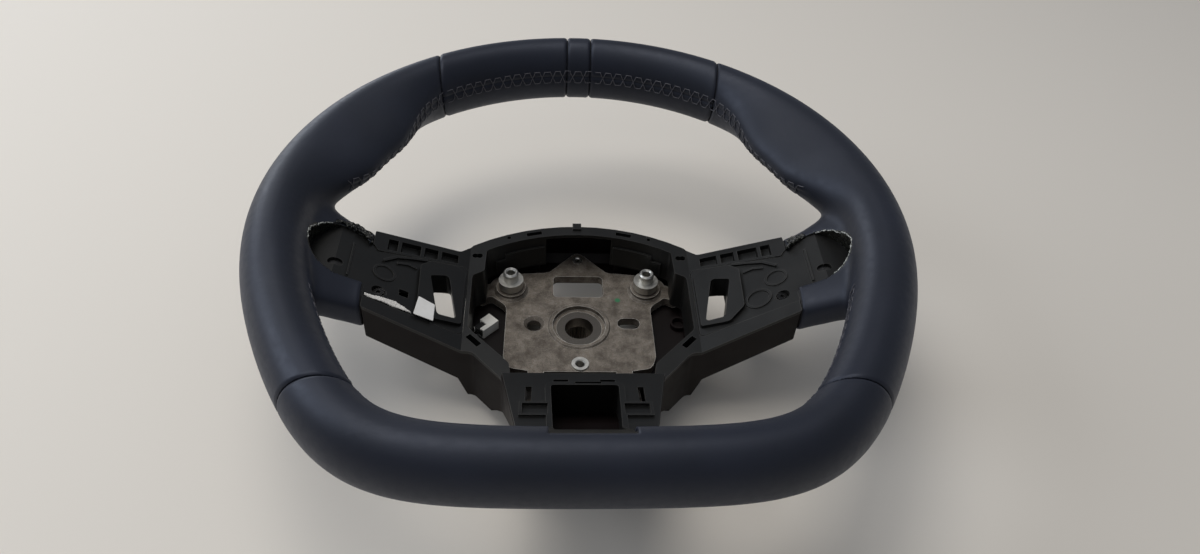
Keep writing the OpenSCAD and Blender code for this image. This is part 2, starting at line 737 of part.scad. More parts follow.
pocket = [[-18, -79.5, 2], [18, -79.5, 2], [16.5, -136.5, 2], [-16.5, -136.5, 2]];
tongue_side = [
    [-110, 44], [-110, lower_front(-110)], [-116, lower_front(-116)], [-136.5, 83], [tongue_end, 97.2],
    [tongue_end - 2.7, 99.2], [tongue_end - 2.7, 92], [tongue_end, 92], [-139, 62], [-128, 54]
];
frame_pads = [26, -101, 13, 9];
module lower_frame_plan() {
    intersection() {
        offset(delta = -fit) cover_plan();
        translate([-60, -142]) square([120, 142 + split_y]);
    }
}
module lower_frame() {
    color("black")
        difference() {
            union() {
                intersection() {
                    linear_extrude(100) lower_frame_plan();
                    difference() {
                        lower_slab(0, 0);
                        lower_slab(-wall, -1);
                    }
                }
                intersection() {
                    linear_extrude(100) offset(delta = wall) polygon(rounded(pocket));
                    lower_slab(0, wall + 3);
                }
                intersection() {
                    linear_extrude(100) {
                        offset(delta = 3) polygon(rounded(pocket));
                        both() translate([frame_pads[0], frame_pads[1]])
                            square([frame_pads[2] + 3, frame_pads[3] + 3], center = true);
                    }
                    difference() {
                        lower_slab(1.3, 0);
                        lower_slab(-wall, -1);
                    }
                    translate([-60, -120, 0]) cube([120, 60, 100]);
                }
                translate([-tongue_w, 0, 0])
                    rotate([90, 0, 90])
                        linear_extrude(2 * tongue_w)
                            polygon(tongue_side);
            }
            translate([0, 0, -1]) linear_extrude(120) polygon(rounded(pocket));
            both() intersection() {
                translate([frame_pads[0], frame_pads[1], 50])
                    cube([frame_pads[2], frame_pads[3], 90], center = true);
                difference() {
                    lower_slab(9, 0);
                    lower_slab(-0.8, -1);
                }
            }
            both() lower_leg(0.6);
            both() translate([29.5, -87, 40]) cube([3.2, 14, 50], center = true);
            both() translate([12.5, -74.5, 40]) cube([8, 3, 50], center = true);
            translate([2, -77.4, 40]) cube([14, 1.6, 50], center = true);
        }
}

tray_plan_right = [
    [hub_half_w + fit, tray_lo(hub_half_w) + fit, 3], [root_x, tray_lo(root_x) + fit, 0],
    [root_x, tray_hi(root_x) - fit, 0], [hub_half_w + fit, tray_hi(hub_half_w) - fit, 3]
];
window_low = [71.9, -26];
window_shape = [
    [window_low[0] + window_w + 4.8, window_low[1] + window_l - 5.5, 2],
    [window_low[0] + 6.4, window_low[1] + window_l, 2], [window_low[0], window_low[1], 2],
    [window_low[0] + window_w - 1.2, window_low[1] - 1.5, 2]
];
module tray_slab(low, high) {
    x0 = hub_half_w - 2;
    z0 = spoke_front(x0);
    z1 = spoke_front(step_x);
    translate([0, 60, 0])
        rotate([90, 0, 0])
            linear_extrude(120)
                polygon([
                    [x0, z0 + low], [step_x, z1 + low], [rim_r, z1 + low],
                    [rim_r, z1 + high], [step_x, z1 + high], [x0, z0 + high]
                ]);
}
module tray() {
    color("black")
        difference() {
            union() {
                intersection() {
                    linear_extrude(110) {
                        polygon(rounded(tray_plan_right));
                        tray_end_plan(recess_r - fit);
                    }
                    tray_slab(-1 - wall, -1);
                }
                translate([tray_screw[0], tray_screw[1], tray_screw_z - wall])
                    cylinder(h = wall + 1, r = 4.4);
            }
            linear_extrude(110) offset(delta = window_wall + fit) polygon(rounded(window_shape));
            translate([tray_screw[0], tray_screw[1], 0]) {
                cylinder(h = 110, d = screw_hole);
                translate([0, 0, tray_screw_z]) cylinder(h = 20, r = screw_head_d / 2 + 0.5);
            }
            translate([recess_x + 2.5, -14.3, 0]) {
                for (x = [-1.5, 1.5]) translate([x, 0, 0]) cylinder(h = 110, r = 2.6);
            }
        }
}

// Relief of the trays: a round dish, an oval boss and curved ribs, raised on the floor
module tray_relief(high) {
    intersection() {
        linear_extrude(110) children();
        tray_slab(-1.5, -1 + high);
    }
}
module ring_plan(at, r, w) translate(at) difference() {
    circle(r = r);
    circle(r = r - w);
}
module rib_path(pts, w) for (i = [0:len(pts) - 2])
    let (d = unit(pts[i + 1] - pts[i]), u = [-d[1], d[0]] * w / 2)
    polygon([pts[i] - u, pts[i + 1] - u + d * 0.6, pts[i + 1] + u + d * 0.6, pts[i] + u]);
module tray_ribs() {
    tray_relief(1.6) rib_path([[91, 12.5], [99, 9.3], [107, 5.5], [113, -0.5]], 1.5);
    tray_relief(1.1) rib_path([[96, 3], [101, 3.5], [106, 1.5]], 1.3);
    tray_relief(0.7) ring_plan([112, -9.7], 6, 1.2);
    tray_relief(1) translate([129, -22]) square([1, 26]);
}
module tray_right() {
    tray();
    color("black") tray_ribs();
    color("black") tray_relief(0.8) ring_plan([101, -21], 7, 1.4);
}
module tray_left() mirror([1, 0, 0]) {
    difference() {
        tray();
        translate([98.4, -22, 0]) cube([5, 4.8, 110]);
    }
    color("black") tray_ribs();
}

// Bracket round each window, with walls that go down through the tray
window_wall = 1.5;
window_depth = 13;
bracket_plan = [
    [94, 6, 4], [88.5, 12.5, 4], [74, 16.5, 4], [hub_half_w + 1, 13, 2], [hub_half_w + 1, -28.5, 2],
    [84, -31.8, 3], [93, -24, 4]
];
module bracket() {
    color("black")
        difference() {
            union() {
                intersection() {
                    linear_extrude(110) polygon(rounded(bracket_plan));
                    tray_slab(-1, 1.6);
                }
                intersection() {
                    linear_extrude(110) offset(delta = window_wall) polygon(rounded(window_shape));
                    tray_slab(-window_depth, 1);
                }
            }
            linear_extrude(110) polygon(rounded(window_shape));
        }
}
module window_bracket_right() bracket();
module window_bracket_left() mirror([1, 0, 0]) bracket();

// Screws that hold each tray to a post of the rear cover
module screw_head() {
    difference() {
        cylinder(h = screw_head_h, d = screw_head_d);
        translate([0, 0, 1]) cylinder(h = screw_head_h, d = 3, $fn = 6);
    }
}
module tray_screws() {
    color("dimgray")
        both() translate([tray_screw[0], tray_screw[1], tray_screw_z]) {
            screw_head();
            translate([0, 0, -10]) cylinder(h = 10.5, d = screw_d);
        }
}

// Screws that hold the rear cover to the cast arms, from behind
module cover_screws() {
    color("dimgray")
        both() translate([cover_screw[0], cover_screw[1], cover_screw_z - 3]) {
            mirror([0, 0, 1]) screw_head();
            translate([0, 0, -0.5]) cylinder(h = 8.5, d = screw_d);
        }
}

// Heater lead, from the left spoke root under the tray to the connector on the cover's floor
lead_d = 3.6;
lead_route = [
    [-120, -14, 48.5], [-112, -14, 45], [-104, -15, 40], [-97, -18, 35], [-90, -21, 31], [-83, -24, 26],
    [-76, -25, 21.5], [-70.5, -24, 17.5], [-66, -21.5, 12.5], [-63, -18, 7.5], [-62.6, -13.5, 4],
    [-63, -9, 2], [-63.2, -5, 1.6]
];
module heater_lead() {
    n = 8;
    last = len(lead_route) - 1;
    rings = [for (i = [0:last])
        let (a = lead_route[max(0, i - 1)], b = lead_route[min(last, i + 1)], t = unit(b - a),
             u = unit(cross([0, 0, 1], t)), v = cross(t, u))
        [for (k = [0:n - 1]) lead_route[i] + lead_d / 2 * (cos(360 * k / n) * u + sin(360 * k / n) * v)]];
    color("black") loft([for (r = rings) [for (k = [n - 1:-1:0]) r[k]]]);
}

// Connector on the floor of the cover, left of the hub plate
plug_l = 12.5;
plug_w = 8.6;
plug_h = 7;
plug_wall = 1;
floor_in = spoke_back_0[1] + wall;
module at_plug() translate([-57.5, 3.5, floor_in]) rotate([0, 0, -45]) children();
module lead_connector() {
    color("white")
        at_plug() difference() {
            translate([-plug_w / 2, -plug_l / 2, 0]) cube([plug_w, plug_l, plug_h]);
            translate([-plug_w / 2 + plug_wall, -plug_l / 2 - 1, plug_wall])
                cube([plug_w - 2 * plug_wall, plug_l - plug_wall + 1, plug_h - 2 * plug_wall]);
            translate([-plug_w / 2 - 1, -plug_l / 2 - 1, plug_h - 3]) cube([plug_w - 2, 6, 4]);
        }
}
module lead_plug() {
    color("black")
        at_plug() translate([-plug_w / 2 + plug_wall + 0.1, -plug_l / 2 - 0.5, plug_wall + 0.1]) {
            difference() {
                cube([plug_w - 2 * plug_wall - 0.2, plug_l - plug_wall - 2, plug_h - 2 * plug_wall - 0.2]);
                for (i = [0:1]) translate([1.3 + 2.4 * i, -1, 1.6]) cube([1.3, 4, 1.5]);
            }
        }
}

label_plan = [[-83.7, -21.8, 0.6], [-83.6, -34.2, 0.6], [-94, -34.2, 0.6], [-92.5, -19.8, 0.6]];
module lead_label() {
    color("white")
        intersection() {
            linear_extrude(110) polygon(rounded(label_plan));
            mirror([1, 0, 0]) tray_slab(1.6, 2);
        }
}

module fleece_strip() {
    color("white")
        intersection() {
            linear_extrude(110)
                polygon(rounded([
                    [-119.5, -30.4, 0.5], [-119.5, -32, 0.5], [-104, -32.6, 2], [-94.5, -33, 0.3],
                    [-104, -28.2, 2]
                ]));
            mirror([1, 0, 0]) tray_slab(-1, 0);
        }
}

armature();
column_bush();
post_left();
post_right();
upper_insert();
lower_insert();
rim_foam();
leather_left();
leather_right();
leather_top_left();
leather_top_right();
leather_top_band();
leather_bottom();
bay_frame();
lower_frame();
tray_left();
tray_right();
window_bracket_left();
window_bracket_right();
rear_cover();
tray_screws();
cover_screws();
heater_lead();
lead_connector();
lead_plug();
lead_label();
fleece_strip();
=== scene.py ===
import math
import random

import bmesh
import bpy
from mathutils import Euler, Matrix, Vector, noise
from mathutils.bvhtree import BVHTree


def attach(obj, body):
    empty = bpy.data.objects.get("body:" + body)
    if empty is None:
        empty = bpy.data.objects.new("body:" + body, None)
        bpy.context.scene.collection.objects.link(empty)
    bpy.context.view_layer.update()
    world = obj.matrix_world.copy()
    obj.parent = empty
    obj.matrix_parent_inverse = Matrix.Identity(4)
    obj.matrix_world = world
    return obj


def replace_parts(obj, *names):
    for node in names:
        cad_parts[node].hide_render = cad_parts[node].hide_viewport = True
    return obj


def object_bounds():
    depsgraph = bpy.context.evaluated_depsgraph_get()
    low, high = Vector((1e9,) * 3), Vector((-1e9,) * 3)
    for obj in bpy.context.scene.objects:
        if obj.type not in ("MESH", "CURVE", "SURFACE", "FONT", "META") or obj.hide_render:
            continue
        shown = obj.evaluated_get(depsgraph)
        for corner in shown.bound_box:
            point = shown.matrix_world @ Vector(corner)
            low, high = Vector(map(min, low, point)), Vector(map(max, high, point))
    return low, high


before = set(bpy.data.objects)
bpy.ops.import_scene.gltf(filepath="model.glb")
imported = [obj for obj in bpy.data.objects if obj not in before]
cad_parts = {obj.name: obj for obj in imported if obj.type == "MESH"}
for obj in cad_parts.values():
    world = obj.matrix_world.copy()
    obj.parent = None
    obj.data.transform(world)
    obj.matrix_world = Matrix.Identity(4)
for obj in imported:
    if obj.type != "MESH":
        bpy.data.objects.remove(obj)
cad_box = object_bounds()
MM = 0.001


# Camera of a phone held about 0.5 m from the rim, looking down on the wheel's face from 6 o'clock.
# A 27 mm lens on a 36 mm wide frame of 1200 x 554 pixels gives the perspective of the photograph.
def placed(name, data):
    """A new object that holds the data, in the scene."""
    made = bpy.data.objects.new(name, data)
    bpy.context.scene.collection.objects.link(made)
    return made


camera_data = bpy.data.cameras.new("camera")
camera_data.lens = 27.0
camera_data.sensor_width = 36.0
camera_data.clip_start = 0.01
camera = placed("camera", camera_data)
camera.location = Vector((-22.0, -383.3, 413.5)) * MM
camera.rotation_euler = Euler([math.radians(a) for a in (46.42, -2.95, -2.09)], "XYZ")
bpy.context.scene.camera = camera
bpy.context.scene.view_settings.view_transform = "Standard"


# Studio: a pale floor under the collar of the rear cover, and a pale room behind it.
# The camera sees the room near white, while its light on the part is dimmer and bluer.
def linear(hex_code):
    """An sRGB hex colour as linear red, green, blue and alpha."""
    parts = [int(hex_code[i : i + 2], 16) / 255 for i in (1, 3, 5)]
    return [c / 12.92 if c <= 0.04045 else ((c + 0.055) / 1.055) ** 2.4 for c in parts] + [1.0]


def add_node(tree, kind, inputs=None, **settings):
    """Adds a shader node with its settings, and links or sets its inputs."""
    made = tree.nodes.new(kind)
    for name, value in settings.items():
        setattr(made, name, value)
    for socket, value in (inputs or {}).items():
        if isinstance(value, bpy.types.NodeSocket):
            tree.links.new(value, made.inputs[socket])
        else:
            made.inputs[socket].default_value = value
    return made


def new_material(name):
    """A node material with its tree and main shader."""
    made = bpy.data.materials.new(name)
    made.use_nodes = True
    return made, made.node_tree, made.node_tree.nodes["Principled BSDF"]


def as_mesh(name, shape):
    """Turns a bmesh into a mesh and frees it."""
    data = bpy.data.meshes.new(name)
    shape.to_mesh(data)
    shape.free()
    return data


FLOOR_Z = cad_box[0][2] - 0.0002
floor_mesh = bmesh.new()
bmesh.ops.create_grid(floor_mesh, x_segments=1, y_segments=1, size=3.0)
bmesh.ops.translate(floor_mesh, vec=(0, 0, FLOOR_Z), verts=floor_mesh.verts)
floor = placed("studio_floor", as_mesh("studio_floor", floor_mesh))
paper, tree, skin = new_material("pale_studio_paper")
skin.inputs["Base Color"].default_value = linear("#d8d2c9")
skin.inputs["Roughness"].default_value = 0.9
floor.data.materials.append(paper)

world = bpy.data.worlds.new("studio_room")
bpy.context.scene.world = world
world.use_nodes = True
sky = world.node_tree
sky.nodes.clear()
rays = add_node(sky, "ShaderNodeLightPath")
seen = add_node(sky, "ShaderNodeMath", {0: rays.outputs["Is Camera Ray"],
                                        1: rays.outputs["Is Transmission Ray"]}, operation="MAXIMUM")
ambient = add_node(sky, "ShaderNodeBackground", {"Color": linear("#ccd1da"), "Strength": 0.42})
backdrop = add_node(sky, "ShaderNodeBackground", {"Color": linear("#dcd8d4"), "Strength": 1.0})
both_skies = add_node(sky, "ShaderNodeMixShader", {0: seen.outputs[0], 1: ambient.outputs[0],
                                                   2: backdrop.outputs[0]})
add_node(sky, "ShaderNodeOutputWorld", {"Surface": both_skies.outputs[0]})


def soft_box(name, place, target, size, watts, tint):
    """A rectangular soft lamp at a place, turned to its target."""
    lamp_data = bpy.data.lights.new(name, "AREA")
    lamp_data.shape = "RECTANGLE"
    lamp_data.size = size[0]
    lamp_data.size_y = size[1]
    lamp_data.energy = watts
    lamp_data.color = linear(tint)[:3]
    lamp = placed(name, lamp_data)
    lamp.location = place
    lamp.rotation_euler = (Vector(target) - Vector(place)).to_track_quat("-Z", "Y").to_euler()


soft_box("ceiling_light", (-0.35, 0.2, 1.7), (0, 0, 0.05), (1.3, 0.9), 15, "#f4f1ec")
soft_box("window_light", (-1.25, 0.2, 0.85), (0, 0, 0.06), (0.8, 0.8), 9, "#e0e6ee")
soft_box("rear_light", (-1.0, 1.5, 0.4), (0, 0, 0.08), (1.0, 0.5), 8, "#e4e8ee")
soft_box("front_light", (-0.4, -1.0, 1.5), (0, 0, 0.05), (1.0, 0.6), 1.5, "#f5f1ea")


# Armature: one pressure-die-cast light alloy piece, with the hub plate, arms, legs and rim core.
# The cast skin is mottled grey-brown, and the plate's edges are rubbed bright.
def dress(material, *names):
    """Gives CAD nodes their finish."""
    for name in names:
        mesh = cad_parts[name].data
        mesh.materials.clear()
        mesh.materials.append(material)


def ramp(tree, factor, dark, light, low=0.0, high=1.0):
    """A colour ramp from a dark to a light tint."""
    made = add_node(tree, "ShaderNodeValToRGB", {"Fac": factor})
    for stop, place, tint in zip(made.color_ramp.elements, (low, high), (dark, light)):
        stop.position = place
        stop.color = linear(tint)
    return made


def spread(tree, value, low, high, to_low, to_high):
    """Maps one range of a value to another."""
    return add_node(tree, "ShaderNodeMapRange", {"Value": value, "From Min": low, "From Max": high,
                                                 "To Min": to_low, "To Max": to_high})


def bump(tree, skin, strength, distance, height, under=None):
    """Gives a shader a fine relief, on top of the one under it."""
    made = add_node(tree, "ShaderNodeBump", {"Strength": strength, "Distance": distance, "Height": height})
    if under:
        tree.links.new(under.outputs[0], made.inputs["Normal"])
    tree.links.new(made.outputs[0], skin.inputs["Normal"])
    return made


def edge_mask(tree, radius, low, high):
    """White on outer edges that are sharper than a radius, in metres."""
    rounded = add_node(tree, "ShaderNodeBevel", {"Radius": radius}, samples=6)
    flat = add_node(tree, "ShaderNodeNewGeometry")
    same = add_node(tree, "ShaderNodeVectorMath", {0: rounded.outputs[0], 1: flat.outputs["Normal"]},
                    operation="DOT_PRODUCT")
    return spread(tree, same.outputs["Value"], high, low, 0.0, 1.0)


# The oxide lies in soft clouds about 8 mm wide, with flow marks of 3 mm, 0.5 mm pits and one green ink dot
INK_PLACE = (0.025, 0.023, 0.006)
casting, tree, skin = new_material("die_cast_aluminium")
spot = add_node(tree, "ShaderNodeTexCoord")
clouds = add_node(tree, "ShaderNodeTexNoise", {"Vector": spot.outputs["Object"], "Scale": 1 / 0.008,
                                               "Detail": 6.0, "Roughness": 0.62})
flow = add_node(tree, "ShaderNodeTexNoise", {"Vector": spot.outputs["Object"], "Scale": 1 / 0.003,
                                             "Detail": 4.0, "Roughness": 0.7})
grit = add_node(tree, "ShaderNodeTexNoise", {"Vector": spot.outputs["Object"], "Scale": 1 / 0.0005,
                                             "Detail": 2.0, "Roughness": 0.6})
cast_tint = ramp(tree, clouds.outputs["Fac"], "#67615a", "#979189", 0.36, 0.64)
cast_flow = add_node(tree, "ShaderNodeMix", {"Factor": flow.outputs["Fac"], 6: cast_tint.outputs[0],
                                             7: linear("#8b8279")}, data_type="RGBA", blend_type="OVERLAY")
pits = spread(tree, grit.outputs["Fac"], 0.36, 0.56, 0.55, 1.12)
cast_pitted = add_node(tree, "ShaderNodeMix", {"Factor": 1.0, 6: cast_flow.outputs[2], 7: pits.outputs[0]},
                       data_type="RGBA", blend_type="MULTIPLY")
worn = edge_mask(tree, 0.0006, 0.80, 0.97)
cast_colour = add_node(tree, "ShaderNodeMix", {"Factor": worn.outputs[0], 6: cast_pitted.outputs[2],
                                               7: linear("#c9c6c0")}, data_type="RGBA")
ink_gap = add_node(tree, "ShaderNodeVectorMath", {0: spot.outputs["Object"], 1: INK_PLACE},
                   operation="DISTANCE")
ink_edge = add_node(tree, "ShaderNodeMath", {0: grit.outputs["Fac"], 1: 0.0012}, operation="MULTIPLY")
ink_size = add_node(tree, "ShaderNodeMath", {0: ink_gap.outputs["Value"], 1: ink_edge.outputs[0]})
ink_mask = spread(tree, ink_size.outputs[0], 0.0026, 0.0021, 0.0, 1.0)
inked = add_node(tree, "ShaderNodeMix", {"Factor": ink_mask.outputs[0], 6: cast_colour.outputs[2],
                                         7: linear("#3f7a56")}, data_type="RGBA")
tree.links.new(inked.outputs[2], skin.inputs["Base Color"])
skin.inputs["Metallic"].default_value = 0.55
cast_rough = spread(tree, flow.outputs["Fac"], 0.3, 0.7, 0.48, 0.68)
tree.links.new(cast_rough.outputs[0], skin.inputs["Roughness"])
flow_relief = bump(tree, skin, 0.5, 0.0003, flow.outputs["Fac"])
bump(tree, skin, 0.3, 0.0001, grit.outputs["Fac"], flow_relief)
dress(casting, "armature")


# Column bush: plain turned steel pressed into the casting, its bore reamed and its spline broached.
# Turning leaves fine rings round the bore, about 0.35 mm apart.
bush_steel, tree, skin = new_material("turned_bare_steel")
spot = add_node(tree, "ShaderNodeTexCoord")
rings = add_node(tree, "ShaderNodeTexWave", {"Vector": spot.outputs["Object"], "Scale": 900.0,
                                             "Distortion": 1.0, "Detail": 2.0},
                 wave_type="RINGS", rings_direction="Z")
bush_tint = ramp(tree, rings.outputs["Fac"], "#4f4b46", "#7a756f")
tree.links.new(bush_tint.outputs[0], skin.inputs["Base Color"])
skin.inputs["Metallic"].default_value = 1.0
skin.inputs["Roughness"].default_value = 0.35
dress(bush_steel, "column_bush")


# Airbag posts and threaded inserts: turned free-cutting steel with a bright zinc plating.
# The plating is a little milky, with turning rings about 0.6 mm apart.
zinc, tree, skin = new_material("zinc_plated_steel")
spot = add_node(tree, "ShaderNodeTexCoord")
turning = add_node(tree, "ShaderNodeTexWave", {"Vector": spot.outputs["Object"], "Scale": 500.0,
                                               "Distortion": 2.0, "Detail": 2.0},
                   wave_type="BANDS", bands_direction="Z")
milk = add_node(tree, "ShaderNodeTexNoise", {"Vector": spot.outputs["Object"], "Scale": 1 / 0.002,
                                             "Detail": 3.0})
zinc_tint = ramp(tree, milk.outputs["Fac"], "#a9a7a2", "#d8d7d2")
tree.links.new(zinc_tint.outputs[0], skin.inputs["Base Color"])
skin.inputs["Metallic"].default_value = 1.0
zinc_rough = spread(tree, milk.outputs["Fac"], 0.0, 1.0, 0.28, 0.5)
tree.links.new(zinc_rough.outputs[0], skin.inputs["Roughness"])
bump(tree, skin, 0.15, 0.0001, turning.outputs["Fac"])
dress(zinc, "post_left", "post_right", "upper_insert", "lower_insert")


# Rim foam: polyurethane foam moulded round the rim core, hidden under the leather.
# Only its skin shows where the spoke roots are open.
foam_skin, tree, skin = new_material("moulded_foam_skin")
spot = add_node(tree, "ShaderNodeTexCoord")
cells = add_node(tree, "ShaderNodeTexVoronoi", {"Vector": spot.outputs["Object"], "Scale": 1 / 0.0008})
foam_tint = ramp(tree, cells.outputs["Distance"], "#161618", "#2a2a2c")
tree.links.new(foam_tint.outputs[0], skin.inputs["Base Color"])
skin.inputs["Roughness"].default_value = 0.85
bump(tree, skin, 0.4, 0.0003, cells.outputs["Distance"])
dress(foam_skin, "rim_foam")


# Leather panels: smooth car leather 1.2 mm thick, dyed very dark navy, with a satin finish.
# A fine grain of 0.7 mm cells and soft colour clouds 60 mm wide keep it from looking like plastic.
leather, tree, skin = new_material("smooth_navy_leather")
spot = add_node(tree, "ShaderNodeTexCoord")
hide = add_node(tree, "ShaderNodeTexNoise", {"Vector": spot.outputs["Object"], "Scale": 1 / 0.06,
                                             "Detail": 3.0})
pores = add_node(tree, "ShaderNodeTexVoronoi", {"Vector": spot.outputs["Object"], "Scale": 1 / 0.0007},
                 feature="SMOOTH_F1")
wrinkles = add_node(tree, "ShaderNodeTexNoise", {"Vector": spot.outputs["Object"], "Scale": 1 / 0.004,
                                                 "Detail": 4.0, "Roughness": 0.6})
hide_tint = ramp(tree, hide.outputs["Fac"], "#111217", "#181a23", 0.3, 0.7)
tree.links.new(hide_tint.outputs[0], skin.inputs["Base Color"])
hide_rough = spread(tree, wrinkles.outputs["Fac"], 0.3, 0.7, 0.44, 0.54)
tree.links.new(hide_rough.outputs[0], skin.inputs["Roughness"])
skin.inputs["Sheen Weight"].default_value = 0.06
skin.inputs["Sheen Roughness"].default_value = 0.5
skin.inputs["Sheen Tint"].default_value = linear("#7d90bd")
skin.inputs["Specular Tint"].default_value = linear("#d3dcf2")
wrinkle_relief = bump(tree, skin, 0.12, 0.0002, wrinkles.outputs["Fac"])
bump(tree, skin, 0.12, 0.0001, pores.outputs["Distance"], wrinkle_relief)


# Rim shape: a circle above the spokes, a flat bottom with fuller quarters, and an oval grip that
# swells inwards to a thumb rest above each spoke. It is the foam's shape that the hides are drawn over.
# All sizes here are millimetres, and the same as in the part's source.
GRIP_CELLS = 64
RIM_R = 168.0
RIM_DY = 7.0
RIM_Z = 82.0
ROOT_X = 121.0
UPPER_SEAM = 57.0
LOWER_SEAM = 46.0


def ease(t):
    """A smooth step from 0 to 1."""
    c = max(0.0, min(1.0, t))
    return c * c * (3 - 2 * c)


def rim_radius(angle):
    """Distance of the grip's centreline from its middle."""
    s = math.sin(angle)
    if s >= 0:
        return RIM_R + 3.0 * s * s
    return ((RIM_R + 44.0 * s**4) ** -12 + (164.0 / abs(s)) ** -12) ** (-1 / 12)


def rim_centre(angle):
    """A point of the grip's centreline."""
    return Vector((rim_radius(angle) * math.cos(angle), rim_radius(angle) * math.sin(angle) + RIM_DY, RIM_Z))


def rim_outward(angle):
    """The direction away from the hub, square to the centreline."""
    along = (rim_centre(angle + 0.009) - rim_centre(angle - 0.009)).normalized()
    return Vector((along.y, -along.x, 0))


def grip_half_width(angle, phi):
    """Half width of the grip, with the thumb rest on its inner side."""
    s = math.sin(angle)
    end = 14.6 if s > 0 else 16.5
    rise = math.degrees(math.asin(max(-1.0, min(1.0, s))))
    rest = 19.5 * ease((57.0 - rise) / 25) * ease((rise - 1) / 23)
    inward = math.cos(phi) ** 2 if math.cos(phi) < 0 else 0.0
    return 17.2 + (end - 17.2) * s * s + rest * inward


def grip_half_depth(angle):
    """Half depth of the grip, less at the flat bottom."""
    s = math.sin(angle)
    return 22.0 if s > 0 else 22.0 - 2.2 * s * s


def grip_point(angle, phi, lean=0.0):
    """A point of the grip's skin; phi 0 is away from the hub and 90 degrees is towards the driver."""
    turned = angle + math.radians(lean) * grip_half_width(angle, phi) * math.cos(phi)
    out = rim_outward(turned) * grip_half_width(turned, phi) * math.cos(phi)
    return rim_centre(turned) + out + Vector((0, 0, grip_half_depth(turned) * math.sin(phi)))


def stitch_phi(angle):
    """Where the hand-sewn seam runs on the inner side of the grip, lower behind the thumb rests."""
    rise = math.degrees(math.asin(max(-1.0, min(1.0, math.sin(angle)))))
    return math.radians(176 + 17 * ease((rise - 8) / 14) * ease((48 - rise) / 16))


def wrapped(rows, columns, place, cap=True):
    """A grid rolled into a tube: place(u, v) gives the point, v runs once round it."""
    tube = bmesh.new()
    bmesh.ops.create_grid(tube, x_segments=rows, y_segments=columns, size=0.5)
    for vert in tube.verts:
        vert.co = place(vert.co.x + 0.5, vert.co.y + 0.5)
    bmesh.ops.remove_doubles(tube, verts=tube.verts, dist=1e-4)
    if cap:
        bmesh.ops.holes_fill(tube, edges=[e for e in tube.edges if e.is_boundary])
    bmesh.ops.recalc_face_normals(tube, faces=tube.faces)
    return tube


def grip_tube(start, end, step, cap=True):
    """A length of the grip, with its finest cells along the sewn seam."""
    def place(u, v):
        angle = math.radians(start + (end - start) * u)
        t = 2 * v - 1
        return grip_point(angle, stitch_phi(angle) + math.copysign(abs(t) ** 1.5, t) * math.pi)
    return wrapped(round((end - start) / step), GRIP_CELLS, place, cap)


def seam_plane(angle, lean):
    """A point and the direction of the plane that a seam lies in; the direction points along the rim."""
    a = math.radians(angle)
    outer, front, inner = (grip_point(a, phi, lean) for phi in (0.0, math.pi / 2, math.pi))
    normal = (outer - inner).cross(front - (outer + inner) / 2).normalized()
    along = rim_centre(a + 0.01) - rim_centre(a - 0.01)
    return front, normal if normal.dot(along) > 0 else -normal


def everywhere(spot):
    """No limit on where a cut works."""
    return True


def elements(shape, within=everywhere):
    """The vertices, edges and faces of a bmesh that lie within a region, in the mesh's own order."""
    held = [v for v in shape.verts if within(v.co)]
    inside = set(held)
    return (held + [e for e in shape.edges if inside.issuperset(e.verts)]
            + [f for f in shape.faces if inside.issuperset(f.verts)])


def cut_and_turn(shape, place, keep_side, sink=1.0, reach=2.0, within=everywhere):
    """Cuts a skin at a plane, drops what lies behind it and turns the cut edge under."""
    bmesh.ops.bisect_plane(shape, geom=elements(shape, within), plane_co=place, plane_no=-keep_side,
                           clear_outer=True, dist=1e-5)
    for share in (0.2, 0.45, 0.7, 1.0):
        bmesh.ops.bisect_plane(shape, geom=elements(shape, within), dist=1e-5,
                               plane_co=place + keep_side * reach * share, plane_no=keep_side)
    shape.normal_update()
    for vert in shape.verts:
        depth = (vert.co - place).dot(keep_side)
        if depth < reach - 1e-6 and within(vert.co):
            vert.co -= vert.normal * sink * (1 - depth / reach) ** 2


def press_stitch_groove(shape, strength, depth=0.75, width=1.1):
    """Presses the valley in which the two leather edges are sewn together."""
    shape.normal_update()
    for vert in shape.verts:
        angle = math.atan2(vert.co.y - RIM_DY, vert.co.x)
        for _ in range(2):
            off = vert.co - rim_centre(angle)
            along = (rim_centre(angle + 0.01) - rim_centre(angle - 0.01)).normalized()
            angle += off.dot(along) / rim_radius(angle)
        gap = (vert.co - grip_point(angle, stitch_phi(angle))).length
        if gap < 4 * width:
            vert.co -= vert.normal * strength(angle) * depth * math.exp(-((gap / width) ** 2))


panels = []


def skin_piece(name, shape, thickness=1.2):
    """Turns a bmesh in millimetres into a piece with the leather's thickness inwards."""
    bmesh.ops.scale(shape, vec=(MM, MM, MM), verts=shape.verts)
    data = as_mesh(name, shape)
    data.shade_smooth()
    piece = placed(name, data)
    wall = piece.modifiers.new("thickness", "SOLIDIFY")
    wall.thickness = thickness * MM
    wall.offset = -1.0
    data.materials.append(leather)
    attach(piece, "root")
    panels.append(piece)
    return piece


def evaluated(work):
    """The mesh of a work object with its modifiers; the object itself is removed."""
    made = bpy.data.meshes.new_from_object(work.evaluated_get(bpy.context.evaluated_depsgraph_get()))
    bpy.data.objects.remove(work)
    return made


def remeshed(shape, cell):
    """The voxel remesh of closed shapes that may run into each other."""
    work = placed("work", as_mesh("work", shape))
    voxels = work.modifiers.new("voxels", "REMESH")
    voxels.mode = "VOXEL"
    voxels.voxel_size = cell
    shape = bmesh.new()
    shape.from_mesh(evaluated(work))
    return shape


def smoothed(shape, verts, rounds):
    """Evens out some vertices of a bmesh."""
    for _ in range(rounds):
        bmesh.ops.smooth_vert(shape, verts=verts, factor=0.5, use_axis_x=True, use_axis_y=True,
                              use_axis_z=True)


